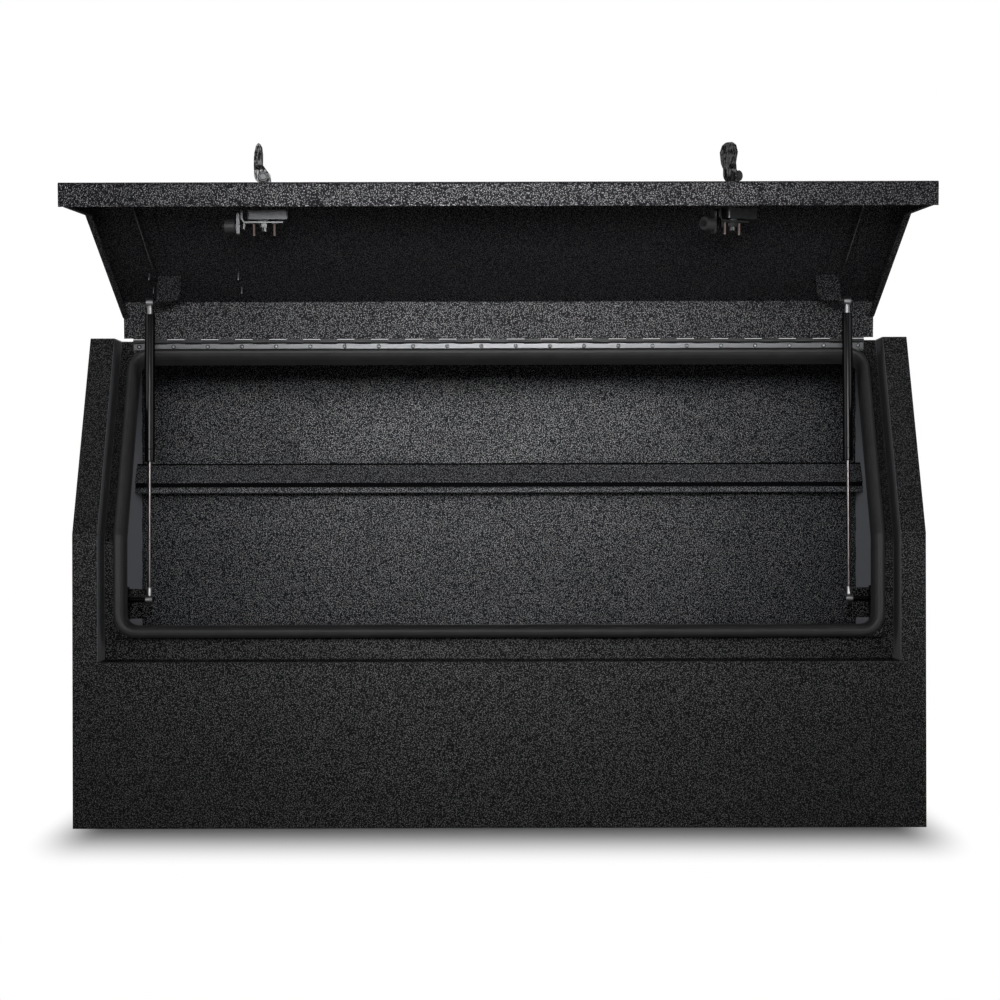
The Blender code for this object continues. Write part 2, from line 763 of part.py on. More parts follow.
lid_half = mitre_x - LID_GAP
strut_shut = slope(BRACKET_START + STUD_ALONG, STUD_DEPTH)
lid_path = (
    (LID_FLANGE_END, LID_TOP),
    tuple(slope_at(LID_TOP, 0)),
    (0, FRONT_HEIGHT),
    (0, LID_BOTTOM),
    (LIP, LID_BOTTOM),
)
skin_shape = prism(ribbon(lid_path, SHEET), "X", -lid_half, lid_half)
skin = piece("lid_skin", on_lid(skin_shape), COAT, lid_frame)
lock_height = LID_BOTTOM + LOCK_UP
for side, hand in ((-1, "left"), (1, "right")):
    hole = circle((side * LOCK_X, lock_height), SLEEVE_R + GAP)
    cut(skin, on_lid(prism(hole, "Y", -CUT, SHEET + CUT)), hand + "_lock_hole")
    end_x = lid_half - GAP
    end_section = ribbon(
        (
            (end_x - LID_HEM, LID_END_DEPTH - SHEET),
            (end_x - SHEET, LID_END_DEPTH - SHEET),
            (end_x - SHEET, SHEET + GAP),
        ),
        SHEET,
    )
    square_ends = [slope(SLOPE_LENGTH - 2 * SHEET, depth) for across, depth in end_section]
    end_run = door_run(end_section, LID_BOTTOM + SHEET + BEND, square_ends, side)
    piece(hand + "_lid_end_flange", on_lid(end_run), COAT, lid_frame)

    # Stiffener: an angle under the slope, its web outboard
    outer = side * STIFFENER_X
    under = SHEET + GAP
    web = [
        slope(STIFFENER_START, under),
        slope(STIFFENER_END, under),
        slope(STIFFENER_END, under + STIFFENER_DEPTH),
        slope(STIFFENER_START, under + STIFFENER_DEPTH),
    ]
    angle = piece(
        hand + "_lid_stiffener",
        on_lid(prism(web, "X", outer - side * SHEET, outer)),
        COAT,
        lid_frame,
    )
    web_middle = outer - side * SHEET / 2
    foot = [
        slope(STIFFENER_START + GAP, under + GAP),
        slope(STIFFENER_END - GAP, under + GAP),
        slope(STIFFENER_END - GAP, under + GAP + SHEET),
        slope(STIFFENER_START + GAP, under + GAP + SHEET),
    ]
    join(angle, on_lid(prism(foot, "X", outer - side * STIFFENER_WIDTH, web_middle)), "foot")

    # Strut bracket: a plate with the upper stud, and a gusset folded inboard
    plate = [
        slope(BRACKET_START, under),
        slope(BRACKET_END, under),
        slope(BRACKET_END, BRACKET_DEPTH - BRACKET_CORNER),
        slope(BRACKET_END - BRACKET_CORNER, BRACKET_DEPTH),
        slope(BRACKET_START, BRACKET_DEPTH),
    ]
    bracket = piece(
        hand + "_lid_bracket",
        on_lid(prism(plate, "X", outer - side * BRACKET_SHEET, outer)),
        COAT,
        lid_frame,
    )
    inboard = STIFFENER_X - BRACKET_WIDTH
    plate_middle = STIFFENER_X - BRACKET_SHEET / 2
    gusset_face = [
        (plate_middle, under + GAP),
        (inboard, under + GAP),
    ] + arc(
        (inboard + BRACKET_CORNER, BRACKET_DEPTH - GAP - BRACKET_CORNER),
        BRACKET_CORNER,
        math.pi,
        math.pi / 2,
        CORNER_STEPS,
    ) + [(plate_middle, BRACKET_DEPTH - GAP)]
    gusset_start = BRACKET_START + GAP
    gusset = loft(
        [
            [(side * across, *slope(along, depth)) for across, depth in gusset_face]
            for along in (gusset_start, gusset_start + BRACKET_SHEET)
        ]
    )
    join(bracket, on_lid(gusset), "gusset")
    stud_end = STRUT_X + EYE_HALF + STUD_HEAD
    stud = circle(strut_shut, STUD_R, SMALL_ROUND)
    stud_start = STIFFENER_X - BRACKET_SHEET / 2
    join(bracket, on_lid(prism(stud, "X", side * stud_start, side * stud_end)), "stud")

# Gas struts, each drawn along its own line from the lid's stud down to its foot
shut_arm = strut_shut - Vector((AXIS_DEPTH, AXIS_HEIGHT))
swing = (math.cos(LID_OPEN), math.sin(LID_OPEN))
open_arm = Vector(
    (shut_arm.x * swing[0] + shut_arm.y * swing[1], shut_arm.y * swing[0] - shut_arm.x * swing[1])
)
strut_top = Vector((AXIS_DEPTH, AXIS_HEIGHT)) + open_arm
foot_height = sill_step + FOOT_RISE
foot_bottom = foot_height - FOOT_TALL * FOOT_SHARE
foot_top = foot_bottom + FOOT_TALL
strut_foot = Vector((FOOT_DEPTH, foot_height))
strut_line = strut_foot - strut_top
strut_length = strut_line.length
strut_lean = math.atan2(-strut_line.x, strut_line.y)
tube_end = TUBE_START + strut_length * TUBE_SHARE
for side, hand in ((-1, "left"), (1, "right")):
    strut = frame(
        hand + "_strut_frame",
        box_frame,
        (side * STRUT_X, strut_top.x, strut_top.y),
        (strut_lean, 0, 0),
    )
    tube = piece(hand + "_strut_tube", prism(circle((0, 0), TUBE_R), "Z", TUBE_START, tube_end), STEEL_BLACK, strut)
    bore = circle((0, 0), ROD_R + ROD_FIT, SMALL_ROUND)
    cut(tube, prism(bore, "Z", BORE_START, tube_end + CUT), "bore")
    end = piece(hand + "_strut_tube_end", prism(circle((0, 0), EYE_R), "X", -EYE_HALF, EYE_HALF), STEEL_BLACK, strut)
    neck = circle((0, 0), NECK_R, SMALL_ROUND)
    join(end, prism(neck, "Z", NECK_R, TUBE_START - GAP), "neck")
    stud_hole = circle((0, 0), STUD_R + STUD_FIT, SMALL_ROUND)
    cut(end, prism(stud_hole, "X", -CUT, CUT), "stud_hole")

    rod_top = tube_end - ROD_INSIDE
    rod_low = strut_length - ROD_END
    rod = circle((0, 0), ROD_R, SMALL_ROUND)
    piece(hand + "_strut_rod", prism(rod, "Z", rod_top, rod_low), BRIGHT, strut)
    foot_place = (0, 0, strut_length)
    rod_end = piece(
        hand + "_strut_rod_end",
        prism(circle((0, 0), EYE_R), "X", -EYE_HALF, EYE_HALF),
        STEEL_BLACK,
        strut,
        foot_place,
    )
    join(rod_end, prism(neck, "Z", GAP - ROD_END, -NECK_R), "neck")
    cut(rod_end, prism(stud_hole, "X", -CUT, CUT), "stud_hole")
    foot_leg_x = STEP_X - GAP - FOOT_SHEET
    foot_reach = foot_leg_x - GAP - STRUT_X
    foot_stud = circle((0, 0), STUD_R, SMALL_ROUND)
    piece(
        hand + "_foot_stud",
        prism(foot_stud, "X", -side * (EYE_HALF + STUD_HEAD), side * foot_reach),
        ZINC,
        strut,
        foot_place,
    )

    # Foot bracket: one leg on the opening's step wall, one folded inboard behind the strut
    leg_outline = rounded(
        FOOT_END - FOOT_START,
        FOOT_TALL,
        FOOT_SHEET,
        ((FOOT_START + FOOT_END) / 2, (foot_top + foot_bottom) / 2),
    )
    foot = piece(
        hand + "_foot_bracket",
        prism(leg_outline, "X", side * foot_leg_x, side * (foot_leg_x + FOOT_SHEET)),
        STEEL_BLACK,
        box_frame,
    )
    leg_low = foot_bottom + FOOT_SHEET
    leg_high = foot_top - FOOT_SHEET
    leg_face = (
        (FOOT_END - FOOT_SHEET, leg_low),
        (FOOT_END - GAP, leg_low),
        (FOOT_END - GAP, leg_high),
        (FOOT_END - FOOT_SHEET, leg_high),
    )
    inner_leg = prism(leg_face, "X", side * (foot_leg_x - FOOT_LEG), side * (foot_leg_x + GAP))
    join(foot, inner_leg, "inner_leg")

# Compression locks: x across, y up the lid, z straight out of it, origin on the lid's outer face
for side, hand, rest in ((-1, "left", 0), (1, "right", RIGHT_TURN)):
    lock = frame(
        hand + "_lock_frame",
        lid_frame,
        (side * LOCK_X, -AXIS_DEPTH, lock_height - AXIS_HEIGHT),
        (math.pi / 2, 0, 0),
    )
    plate_top = GAP + PLATE
    plate_outline = rounded(PLATE_WIDTH, PLATE_TALL, PLATE_CORNER)
    escutcheon = piece(hand + "_lock_escutcheon", prism(plate_outline, "Z", GAP, plate_top), ZINC, lock)
    join(escutcheon, prism(circle((0, 0), SLEEVE_R), "Z", -SLEEVE_END, plate_top - GAP), "sleeve")
    cut(escutcheon, prism(circle((0, 0), BUSH_R + GAP), "Z", -SLEEVE_END - CUT, CUT), "bore")

    turning = frame(hand + "_lock_turn_frame", lock, (0, 0, 0), (0, 0, rest))
    bush = piece(
        hand + "_lock_bush",
        prism(circle((0, 0), BUSH_R), "Z", -SLEEVE_END, plate_top + GAP + BUSH_HEAD / 2),
        ZINC,
        turning,
    )
    join(bush, prism(circle((0, 0), BUSH_HEAD_R), "Z", plate_top + GAP, plate_top + GAP + BUSH_HEAD), "head")
    slot_u = BAR_WIDTH / 2 + BAR_FIT
    slot_v = BAR / 2 + BAR_FIT
    cut(bush, box((-slot_u, -slot_v, -SLEEVE_END - CUT), (slot_u, slot_v, CUT)), "slot")

    bar_half = BAR_WIDTH / 2
    shoulder = SLEEVE_END + SPINDLE_DRAW + 2 * GAP
    bar_outline = [(-bar_half, -shoulder), (bar_half, -shoulder)]
    bar_outline += arc((0, PIVOT_UP), bar_half, 0, math.pi, 2 * CORNER_STEPS)
    spindle = piece(hand + "_lock_spindle", prism(bar_outline, "Y", -BAR / 2, BAR / 2), ZINC, turning)
    lower = circle((0, 0), SPINDLE_R, SMALL_ROUND)
    join(spindle, prism(lower, "Z", -SPINDLE_END, GAP - shoulder), "lower_end")
    pin_hole = circle((0, PIVOT_UP), HANDLE_PIN_R + GAP, SMALL_ROUND)
    cut(spindle, prism(pin_hole, "Y", -CUT, CUT), "pin_hole")

    block_length = BLOCK_BACK + BLOCK_NOSE
    block_outline = rounded(
        block_length, 2 * BLOCK_HALF, BLOCK_CORNER, (BLOCK_BACK - block_length / 2, 0), 3
    )
    block = piece(
        hand + "_lock_cam_block", prism(block_outline, "Z", -BLOCK_BOTTOM, -BLOCK_TOP), ZINC, turning
    )
    boss_low = -BLOCK_BOTTOM - BOSS
    join(block, prism(circle((0, 0), BOSS_R), "Z", boss_low, -BLOCK_BOTTOM + GAP), "boss")
    spindle_hole = circle((0, 0), SPINDLE_R + GAP, SMALL_ROUND)
    cut(block, prism(spindle_hole, "Z", -BLOCK_BOTTOM - CUT, CUT), "spindle_hole")

    strip_top = boss_low - GAP
    strip_low = strip_top - STRIP
    strip_path = ((STRIP_BACK, strip_top), (-STRIP_NOSE, strip_top), (-STRIP_NOSE, strip_top + TAB_RISE))
    strip_outline = ribbon(strip_path, STRIP, STRIP_BEND, CORNER_STEPS)
    cam = piece(
        hand + "_lock_cam_strip", prism(strip_outline, "Y", -STRIP_HALF, STRIP_HALF), ZINC, turning
    )
    lug_far = GAP - AXLE_NUT_START
    lug_half = STRIP_HALF - GAP
    lug = box((lug_far, -lug_half, strip_low - LUG_DROP), (lug_far + STRIP, lug_half, strip_top - GAP))
    join(cam, lug, "lug")
    cut(cam, prism(spindle_hole, "Z", strip_low - CUT, strip_top + CUT), "spindle_hole")
    axle_hole = circle((0, -AXLE_DROP), AXLE_R + GAP, SMALL_ROUND)
    cut(cam, prism(axle_hole, "X", lug_far - CUT, lug_far + STRIP + GAP), "axle_hole")

    nut_top = strip_low - GAP
    nut = piece(
        hand + "_lock_cam_nut", prism(circle((0, 0), NUT_R, HEX), "Z", nut_top - NUT, nut_top), ZINC, turning
    )
    cut(nut, prism(spindle_hole, "Z", nut_top - NUT - CUT, nut_top + CUT), "bore")

    axle_outline = circle((0, -AXLE_DROP), AXLE_R, SMALL_ROUND)
    axle = piece(
        hand + "_lock_axle", prism(axle_outline, "X", -AXLE_END, -AXLE_START), ZINC, turning
    )
    axle_nut = circle((0, -AXLE_DROP), AXLE_HEAD_R + AXLE_HEAD, HEX)
    nut_near = -AXLE_NUT_START
    join(axle, prism(axle_nut, "X", nut_near - AXLE_NUT, nut_near), "nut")
    head_disc = circle((0, -AXLE_DROP), AXLE_HEAD_R, SMALL_ROUND)
    join(axle, prism(head_disc, "X", -AXLE_END - AXLE_HEAD, -AXLE_END + AXLE_HEAD / 2), "head")

    stop_middle = -(STOP_TOP + STOP_BOTTOM) / 2
    stop_outline = rounded(
        2 * STOP_HALF, STOP_BOTTOM - STOP_TOP, STOP_HALF - GAP, (0, stop_middle), CORNER_STEPS
    )
    stop = piece(
        hand + "_lock_stop_bar", prism(stop_outline, "X", -STOP_START - STOP, -STOP_START), ZINC, turning
    )
    cut(stop, prism(axle_hole, "X", -STOP_START - STOP - CUT, -STOP_START + CUT), "axle_hole")

    roller = piece(
        hand + "_lock_roller",
        prism(circle((0, 0), ROLLER_R), "X", -ROLLER_LENGTH / 2, ROLLER_LENGTH / 2),
        RUBBER,
        turning,
        (-ROLLER_START - ROLLER_LENGTH / 2, 0, -AXLE_DROP),
    )
    edge = roller.modifiers.new("edge", "BEVEL")
    edge.width = ROLLER_EDGE
    edge.segments = 2
    edge.limit_method = "ANGLE"
    bore = circle((0, 0), AXLE_R + GAP, SMALL_ROUND)
    cut(roller, prism(bore, "X", -ROLLER_LENGTH, ROLLER_LENGTH), "bore")

    # Handle: side view and front view crossed, with a cam-shaped heel, a fork and a pocket
    pivot = (0, 0, PIVOT_UP)
    heel = []
    fall = (HEEL_LOW - HANDLE_BACK) / (math.pi / 2)
    for k in range(HEEL_STEPS + 1):
        turn = math.pi / 2 * k / HEEL_STEPS
        reach = HANDLE_BACK + fall * turn
        heel.append(
            (
                fall * math.sin(turn) - reach * math.cos(turn),
                -fall * math.cos(turn) - reach * math.sin(turn),
            )
        )
    handle_side = [(u * HANDLE_BACK, v * HANDLE_REACH) for u, v in HANDLE_SIDE_SHARES]
    handle_front = [(u * HANDLE_HALF, v * HANDLE_REACH) for u, v in HANDLE_FRONT_SHARES]
    side_view = handle_side + heel
    wide = HANDLE_HALF + GAP
    handle = piece(hand + "_lock_handle", prism(side_view, "Y", -wide, wide), ZINC, turning, pivot)
    front_view = handle_front + [(-u, v) for u, v in handle_front[::-1]]
    shape(handle, prism(front_view, "X", -CUT, CUT), "INTERSECT", handle.name + "_front_view")
    cut(handle, box((-CUT, -SLOT_HALF, -SLOT_DOWN), (CUT, SLOT_HALF, SLOT_UP)), "slot")
    cross_hole = circle((0, 0), HANDLE_PIN_R + GAP, SMALL_ROUND)
    cut(handle, prism(cross_hole, "Y", -CUT, CUT), "pin_hole")
    pocket = circle((0, KEY_UP), KEY_R + GAP, SMALL_ROUND)
    cut(handle, prism(pocket, "X", -KEY_INNER - GAP, CUT), "key_pocket")
    handle_pin = circle((0, 0), HANDLE_PIN_R, SMALL_ROUND)
    piece(hand + "_lock_handle_pin", prism(handle_pin, "Y", -PIN_HALF, PIN_HALF), BRIGHT, turning, pivot)
    key_place = (0, 0, PIVOT_UP + KEY_UP)
    plug = circle((0, 0), KEY_R, SMALL_ROUND)
    piece(hand + "_lock_key_plug", prism(plug, "X", -KEY_INNER, -KEY_OUTER), BRIGHT, turning, key_place)
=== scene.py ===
import math

import bmesh
import bpy
from mathutils import Matrix, Vector


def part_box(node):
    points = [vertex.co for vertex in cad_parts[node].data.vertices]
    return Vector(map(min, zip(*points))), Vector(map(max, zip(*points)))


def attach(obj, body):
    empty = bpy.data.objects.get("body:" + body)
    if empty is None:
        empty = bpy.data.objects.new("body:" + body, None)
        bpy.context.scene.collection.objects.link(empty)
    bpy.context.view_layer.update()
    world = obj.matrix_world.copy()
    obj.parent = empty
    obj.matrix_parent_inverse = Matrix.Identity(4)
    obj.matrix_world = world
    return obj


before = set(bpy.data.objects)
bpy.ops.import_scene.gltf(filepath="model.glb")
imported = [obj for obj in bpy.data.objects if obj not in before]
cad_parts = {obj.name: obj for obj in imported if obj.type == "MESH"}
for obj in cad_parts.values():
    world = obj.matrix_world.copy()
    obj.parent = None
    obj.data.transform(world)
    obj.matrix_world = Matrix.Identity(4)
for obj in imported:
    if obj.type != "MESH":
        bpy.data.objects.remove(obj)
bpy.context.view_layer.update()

# Powder-coated body
# Every flat and folded sheet of the box is aluminium, welded and then powder coated in a black
# that dries to a fine pebbled skin. The pebbles catch the light as pale flecks.


def new_finish(name):
    """An empty material with its shader, ready for this object's patterns."""
    finish = bpy.data.materials.new(name)
    finish.use_nodes = True
    return finish, finish.node_tree, finish.node_tree.nodes["Principled BSDF"]


def feed(tree, socket, value):
    """Gives a socket another node's output, or a plain value of its own."""
    if isinstance(value, bpy.types.NodeSocket):
        tree.links.new(value, socket)
    else:
        socket.default_value = value


def node(tree, kind, **values):
    """A node with its settings, and its sockets fed by name."""
    made = tree.nodes.new(kind)
    for key, value in values.items():
        if hasattr(made, key):
            setattr(made, key, value)
        else:
            feed(tree, made.inputs[key.replace("_", " ")], value)
    return made


def step(tree, operation, *terms, kind="ShaderNodeMath", out="Value"):
    """One step of arithmetic on other nodes' outputs or plain values."""
    made = node(tree, kind, operation=operation)
    for socket, term in zip(made.inputs, terms):
        feed(tree, socket, term)
    return made.outputs[out]


def ranged(tree, value, **limits):
    """A value mapped from one range to another."""
    return node(tree, "ShaderNodeMapRange", Value=value, **limits).outputs["Result"]


def blend(tree, mask, first, second):
    """A colour between two plain ones."""
    tone = node(tree, "ShaderNodeMix", data_type="RGBA", Factor=mask, A=(*first, 1), B=(*second, 1))
    return tone.outputs["Result"]


def pattern_group(name, inputs, outputs):
    """An empty shader group with named inputs at their usual values, and masks as outputs."""
    tree = bpy.data.node_groups.new(name, "ShaderNodeTree")
    for label, kind, start in inputs:
        socket = tree.interface.new_socket(
            label, in_out="INPUT", socket_type="NodeSocket" + kind,
        )
        socket.default_value = start
    for label in outputs:
        tree.interface.new_socket(label, in_out="OUTPUT", socket_type="NodeSocketFloat")
    place = tree.nodes.new("ShaderNodeTexCoord").outputs
    return tree, tree.nodes.new("NodeGroupInput").outputs, place


def pebble_group():
    """Pebbled coat: height of the skin, a mask of its bright tops, and slow unevenness."""
    tree, entry, coordinates = pattern_group(
        "Pebbled coat",
        (
            ("Pebbles per metre", "Float", 900.0), ("Tops per metre", "Float", 560.0),
            ("Patches per metre", "Float", 5.0),
        ),
        ("Height", "Fleck", "Patch"),
    )
    place = coordinates["Object"]
    pebbles = node(
        tree, "ShaderNodeTexNoise",
        Vector=place, Scale=entry["Pebbles per metre"], Detail=1.0, Roughness=0.5,
    ).outputs["Fac"]
    cells = node(tree, "ShaderNodeTexVoronoi", Vector=place, Scale=entry["Tops per metre"])
    dots = ranged(tree, cells.outputs["Distance"], From_Min=0.46, From_Max=0.28)
    uneven = ranged(tree, pebbles, From_Min=0.40, From_Max=0.58, To_Min=0.3)
    patches = node(
        tree, "ShaderNodeTexNoise",
        Vector=place, Scale=entry["Patches per metre"], Detail=3.0, Roughness=0.5,
    ).outputs["Fac"]
    tops = step(tree, "MULTIPLY", dots, uneven)
    node(tree, "NodeGroupOutput", Height=pebbles, Fleck=tops, Patch=patches)
    return tree


pebbled_coat = pebble_group()


def coat_finish(name, dark, pale, bump, shine=1.9):
    """Black pebbled powder coat: dull between the pebbles, paler and shinier on their tops."""
    finish, tree, shader = new_finish(name)
    grain = node(tree, "ShaderNodeGroup", node_tree=pebbled_coat).outputs
    top_shine = 0.08 * shine
    top_colour = [top_shine + part for part in pale]
    feed(tree, shader.inputs["Base Color"], blend(tree, grain["Fleck"], dark, top_colour))
    metal_share = top_shine / top_colour[0]
    feed(tree, shader.inputs["Metallic"], ranged(tree, grain["Fleck"], To_Max=metal_share))
    gloss = ranged(tree, grain["Patch"], From_Min=0.3, From_Max=0.7, To_Min=0.33, To_Max=0.39)
    feed(tree, shader.inputs["Roughness"], gloss)
    feed(tree, shader.inputs["Specular IOR Level"], 0.0)
    relief = node(tree, "ShaderNodeBump", Strength=bump, Distance=0.0006, Height=grain["Height"])
    feed(tree, shader.inputs["Normal"], relief.outputs["Normal"])
    return finish


def wear(names, finish):
    """Gives the named pieces of the frame a finish."""
    for name in names:
        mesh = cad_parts[name].data
        mesh.materials.clear()
        mesh.materials.append(finish)


def overlay(finish, mask, tone):
    """Lays a plain dull tone over a coat where a mask is bright."""
    tree = finish.node_tree
    shader = tree.nodes["Principled BSDF"]
    for label, kind, laid in (("Base Color", "RGBA", (*tone, 1)), ("Metallic", "FLOAT", 0.0)):
        under = shader.inputs[label].links[0].from_socket
        both = node(tree, "ShaderNodeMix", data_type=kind, Factor=mask, A=under, B=laid)
        feed(tree, shader.inputs[label], both.outputs["Result"])


def inward_group():
    """Inward faces: a mask of the faces that look in toward the middle of the box."""
    tree, entry, coordinates = pattern_group(
        "Inward faces", (("Begins", "Float", -0.3), ("Full", "Float", -0.5)), ("Inward",),
    )
    across = node(tree, "ShaderNodeSeparateXYZ", Vector=coordinates["Object"]).outputs["X"]
    facing = node(tree, "ShaderNodeSeparateXYZ", Vector=coordinates["Normal"]).outputs["X"]
    inward = ranged(
        tree, step(tree, "MULTIPLY", across, facing),
        From_Min=entry["Begins"], From_Max=entry["Full"],
    )
    node(tree, "NodeGroupOutput", Inward=inward)
    return tree


inward_faces = inward_group()


def paint_sheen_inside(finish, tone):
    """Lays a lighter, duller tone on the faces that look in toward the middle of the box, a painted
    sheen for the light they catch at a grazing angle.
    """
    mask = node(finish.node_tree, "ShaderNodeGroup", node_tree=inward_faces).outputs["Inward"]
    overlay(finish, mask, tone)


body_coat = coat_finish(
    "Pebbled black powder coat", (0.013, 0.013, 0.0135), (0.019, 0.019, 0.020), 0.4, shine=2.25,
)
wear(("floor_panel", "front_panel", "roof_panel", "head_frame"), body_coat)
frame_coat = coat_finish(
    "Pebbled black powder coat, frames",
    (0.014, 0.014, 0.0145), (0.020, 0.020, 0.021), 0.4, shine=2.25,
)
# The frames' inward faces get a grey painted sheen.
paint_sheen_inside(frame_coat, (0.150, 0.151, 0.158))
wear(("left_opening_frame", "right_opening_frame", "sill_frame"), frame_coat)
side_coat = coat_finish(
    "Pebbled black powder coat, sides",
    (0.015, 0.015, 0.0155), (0.021, 0.021, 0.022), 0.4, shine=2.25,
)
# The side panels' inward faces get a much lighter painted sheen.
paint_sheen_inside(side_coat, (0.40, 0.413, 0.447))
wear(("left_side_panel", "right_side_panel"), side_coat)
# The back wall's coat is painted lighter and bluer than the body's, with stronger flecks: painted
# light on the wall.
back_coat_painted_lighter = coat_finish(
    "Pebbled black powder coat, back",
    (0.012, 0.0135, 0.0165), (0.042, 0.045, 0.051), 0.4, shine=3.38,
)
wear(("back_panel",), back_coat_painted_lighter)

# Back rail
# A folded aluminium rail welded across the back wall and coated with it. Its face is painted
# pale as painted light, with painted shade in the fold and a painted shadow along the top edge.
# The rail's flecks are painted far paler than the wall's, as painted light.
rail_coat_painted_light = coat_finish(
    "Pebbled black powder coat, rail", (0.040, 0.0415, 0.045), (0.46, 0.475, 0.50), 0.4,
)
tree = rail_coat_painted_light.node_tree
place = tree.nodes.new("ShaderNodeTexCoord").outputs["Object"]
height = node(tree, "ShaderNodeSeparateXYZ", Vector=place).outputs["Z"]
groove_height = 0.4862
from_groove = step(tree, "ABSOLUTE", step(tree, "SUBTRACT", height, groove_height))
groove_painted_shade = ranged(tree, from_groove, From_Min=0.0042, From_Max=0.0032)
top_edge_painted_shadow = ranged(tree, height, From_Min=0.5186, From_Max=0.5196)
# A dark dull tone laid in the fold is painted shade, and along the top edge a painted shadow.
overlay(rail_coat_painted_light, step(tree, "MAXIMUM", groove_painted_shade, top_edge_painted_shadow), (0.008, 0.008, 0.009))
wear(("back_rail",), rail_coat_painted_light)

# Weld beads
# The folded sheets are welded where they meet at the front's corners and bends, ground low and
# coated over, so each weld shows as a soft raised line. Short stitch welds hold the back corners.


def settle(obj, body):
    """Turns a piece's node tree into its plain mesh and ties the piece to a body."""
    seen = obj.evaluated_get(bpy.context.evaluated_depsgraph_get())
    plain = bpy.data.meshes.new_from_object(seen)
    obj.modifiers.clear()
    obj.data = plain
    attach(obj, body)
    return obj


def shape_tree(name, inputs):
    """An empty tree that takes a mesh and the given inputs, and gives a mesh."""
    tree = bpy.data.node_groups.new(name, "GeometryNodeTree")
    tree.interface.new_socket("Geometry", in_out="INPUT", socket_type="NodeSocketGeometry")
    for label, kind in inputs:
        tree.interface.new_socket(label, in_out="INPUT", socket_type="NodeSocket" + kind)
    tree.interface.new_socket("Finish", in_out="INPUT", socket_type="NodeSocketMaterial")
    tree.interface.new_socket("Geometry", in_out="OUTPUT", socket_type="NodeSocketGeometry")
    return tree, tree.nodes.new("NodeGroupInput").outputs


def close_tree(tree, laid, finish):
    """Makes laid copies real, gives them their finish and ends the tree."""
    real = node(tree, "GeometryNodeRealizeInstances", Geometry=laid.outputs["Instances"])
    paint = node(
        tree, "GeometryNodeSetMaterial", Geometry=real.outputs["Geometry"], Material=finish,
    )
    node(tree, "NodeGroupOutput", Geometry=paint.outputs["Geometry"])


def bead_tree():
    """A bead swept along each edge of a mesh, with ripples as the welder's hand leaves them."""
    tree, entry = shape_tree("Weld bead", (("Half width", "Float"), ("Ripple length", "Float")))
    line = node(tree, "GeometryNodeMeshToCurve", Mesh=entry["Geometry"]).outputs["Curve"]
    steps = node(
        tree, "GeometryNodeResampleCurve", mode="LENGTH", Curve=line, Length=entry["Ripple length"],
    )
    dot = node(tree, "GeometryNodeMeshIcoSphere", Subdivisions=2, Radius=entry["Half width"])
    laid = node(
        tree, "GeometryNodeInstanceOnPoints",
        Points=steps.outputs["Curve"], Instance=dot.outputs["Mesh"],
    )
    close_tree(tree, laid, entry["Finish"])
    return tree


weld_bead = bead_tree()


def shaped(name, mesh, tree, inputs, body):
    """A piece made from a mesh by a tree, whose inputs are set by their sockets' identifiers."""
    obj = bpy.data.objects.new(name, mesh)
    bpy.context.scene.collection.objects.link(obj)
    shaping = obj.modifiers.new(name, "NODES")
    shaping.node_group = tree
    for item in tree.interface.items_tree:
        if item.item_type == "SOCKET" and item.in_out == "INPUT" and item.name in inputs:
            shaping[item.identifier] = inputs[item.name]
    return settle(obj, body)


def weld(name, lines, body, half_width, ripple, finish):
    """Beads along the given lines, each a list of points."""
    mesh = bpy.data.meshes.new(name)
    edges = []
    at = 0
    for line in lines:
        edges += [(at + k, at + k + 1) for k in range(len(line) - 1)]
        at += len(line)
    mesh.from_pydata([point for line in lines for point in line], edges, [])
    inputs = {"Half width": half_width, "Ripple length": ripple, "Finish": finish}
    return shaped(name, mesh, weld_bead, inputs, body)


# The weld beads are real; their coat is painted lighter than the body's, as a painted highlight
# along each bead.
weld_coat_painted_highlight = coat_finish("Coated weld", (0.030, 0.030, 0.031), (0.075, 0.075, 0.078), 0.3)
front_y = -0.285
corner_y, bend_y = front_y + 0.0006, front_y + 0.0007
gutter_y = front_y + 0.0564
rim_x, edge_x = 0.565, 0.5985
bend_z = 0.414
front_lines = []
for side in (-1, 1):
    front_lines += [
        [(side * rim_x, corner_y, 0.2335), (side * edge_x, corner_y, 0.2082)],
        [(side * rim_x, bend_y, bend_z), (side * edge_x, bend_y, bend_z)],
        [(side * rim_x, gutter_y, 0.3985), (side * 0.5487, gutter_y, 0.3985)],
        [(side * 0.5645, gutter_y, 0.2512), (side * 0.5580, gutter_y, 0.2360)],
    ]
weld("rim_welds", front_lines, "box", 0.0012, 0.0016, weld_coat_painted_highlight)
stitch_length, stitch_pitch = 0.020, 0.050
corner_x, back_y, foot_z = 0.5970, 0.2822, 0.0032
rail_low, rail_high = 0.465, 0.525
stitches = []
for side in (-1, 1):
    for k in range(12):
        low = 0.060 + stitch_pitch * k
        if not rail_low < low < rail_high:
            high = low + stitch_length
            stitches.append([(side * corner_x, back_y, low), (side * corner_x, back_y, high)])
for k in range(23):
    start = -0.560 + stitch_pitch * k
    stitches.append([(start, back_y, foot_z), (start + stitch_length, back_y, foot_z)])
weld("stitch_welds", stitches, "box", 0.0019, 0.0019, weld_coat_painted_highlight)

# Door seal
# One length of black rubber bulb seal, extruded with its own gripping clip and pushed on the
# flange all round the opening. Its skin has a faint uneven bloom.


def mottle_group():
    """Fine mottle: a mask of faint uneven marks."""
    tree, entry, coordinates = pattern_group(
        "Fine mottle", (("Marks per metre", "Float", 200.0), ("Detail", "Float", 2.0)), ("Mottle",),
    )
    marks = node(
        tree, "ShaderNodeTexNoise",
        Vector=coordinates["Object"], Scale=entry["Marks per metre"], Detail=entry["Detail"],
    )
    node(tree, "NodeGroupOutput", Mottle=marks.outputs["Fac"])
    return tree


fine_mottle = mottle_group()


